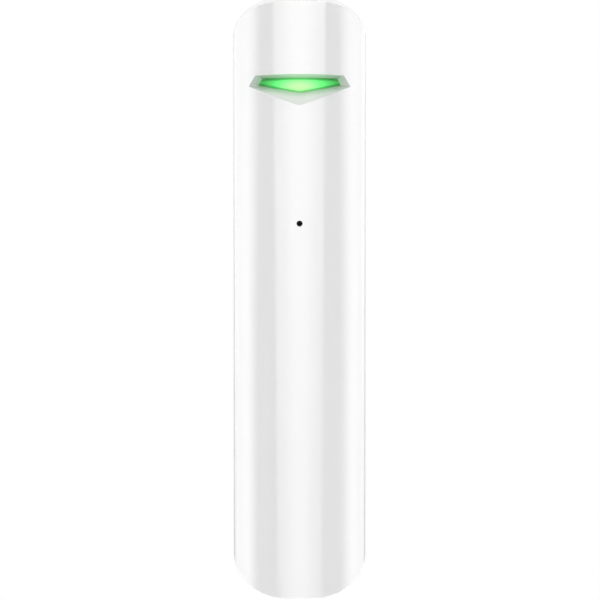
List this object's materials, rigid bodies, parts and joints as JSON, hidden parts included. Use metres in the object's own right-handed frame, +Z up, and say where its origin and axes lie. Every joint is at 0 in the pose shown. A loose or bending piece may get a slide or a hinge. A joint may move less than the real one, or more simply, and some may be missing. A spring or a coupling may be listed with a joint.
{
  "type": "glass break sensor",
  "caption": "Slim white wall-mounted glass break sensor: round-fronted tube with a V-shaped green light window, a sound hole, and a slide-off wall bracket.",
  "frame": {"origin": "middle of the bracket's back face, on the wall", "axes": "+Z up the length, -Y out of the wall towards the room, +X to the right seen from the room"},
  "size_m": [0.02, 0.02, 0.09],
  "materials": {
    "housing_plastic": "glossy white moulded plastic",
    "chassis_plastic": "fine matt white moulded plastic",
    "bracket_plastic": "fine matt white moulded plastic",
    "guide_plastic": "clear light guide, lit green",
    "lamp_resin": "clear resin",
    "dark_plastic": "matt black",
    "board_laminate": "green solder mask",
    "capsule_metal": "satin can",
    "boot_rubber": "soft black rubber",
    "mesh_cloth": "fine black mesh",
    "cell_wrap": "shrink wrap",
    "contact_metal": "nickel-plated sheet",
    "spring_steel": "bright wire",
    "screw_steel": "zinc-plated",
    "switch_plastic": "black moulded plastic",
    "plunger_plastic": "natural moulded plastic",
    "button_plastic": "light grey moulded plastic",
    "chip_resin": "black epoxy",
    "ceramic": "fired ceramic",
    "shield_metal": "tinned sheet"
  },
  "bodies": {
    "bracket": {"mounting_bracket": "bracket_plastic"},
    "housing": {"front_housing": "housing_plastic", "rear_chassis": "chassis_plastic", "chassis_screws": "screw_steel", "light_guide": "guide_plastic", "status_led": "lamp_resin", "light_shroud": "dark_plastic", "main_board": "board_laminate", "microphone_capsule": "capsule_metal", "microphone_boot": "boot_rubber", "microphone_mesh": "mesh_cloth", "battery_cell": "cell_wrap", "positive_contact": "contact_metal", "negative_contact": "contact_metal", "battery_spring": "spring_steel", "tamper_switch_body": "switch_plastic", "tamper_spring": "spring_steel", "power_switch_body": "switch_plastic", "microcontroller": "chip_resin", "amplifier_chip": "chip_resin", "crystal": "capsule_metal", "chip_capacitors": "ceramic", "reservoir_capacitor": "capsule_metal", "radio_shield": "shield_metal", "antenna": "contact_metal"},
    "plunger": {"tamper_plunger": "plunger_plastic"},
    "button": {"power_button": "button_plastic"}
  },
  "joints": [
    {"name": "housing_slide", "type": "slide", "parent": "bracket", "child": "housing", "axis": [0, 0, 1], "range_m": [0, 0.005]},
    {"name": "tamper_plunger_slide", "type": "slide", "parent": "housing", "child": "plunger", "axis": [0, 1, 0], "range_m": [0, 0.0012], "deforming": ["tamper_spring"]},
    {"name": "power_button_press", "type": "slide", "parent": "housing", "child": "button", "axis": [0, -1, 0], "range_m": [0, 0.0005], "stiffness_N_per_m": 800}
  ],
  "couplings": [
    {"joint": "tamper_plunger_slide", "follows": "housing_slide", "ratio": 0.24}
  ]
}
